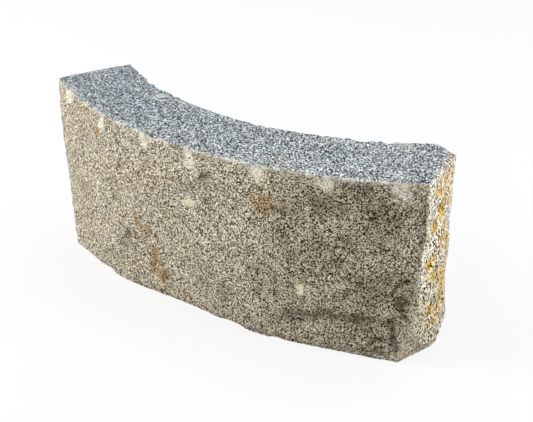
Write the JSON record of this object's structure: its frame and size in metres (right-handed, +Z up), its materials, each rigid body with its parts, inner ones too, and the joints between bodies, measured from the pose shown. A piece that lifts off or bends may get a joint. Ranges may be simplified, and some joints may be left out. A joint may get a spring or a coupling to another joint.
{
  "type": "kerb stone",
  "caption": "Curved granite kerb stone for a small road radius, with a level worked top, rough split sides, an undercut end and a flat bed to stand on.",
  "frame": {"origin": "middle of the bounding box on plan, at the level of the bed", "axes": "+Z up, +X along the stone from the undercut left end to the right end as seen from the road, -Y towards the road, which the convex face looks at"},
  "size_m": [0.7874, 0.2778, 0.31],
  "materials": {
    "granite": "rough split grey granite with a finer flamed top, fine black, grey and cream grain"
  },
  "bodies": {
    "root": {"kerb_stone": "granite"}
  },
  "joints": []
}
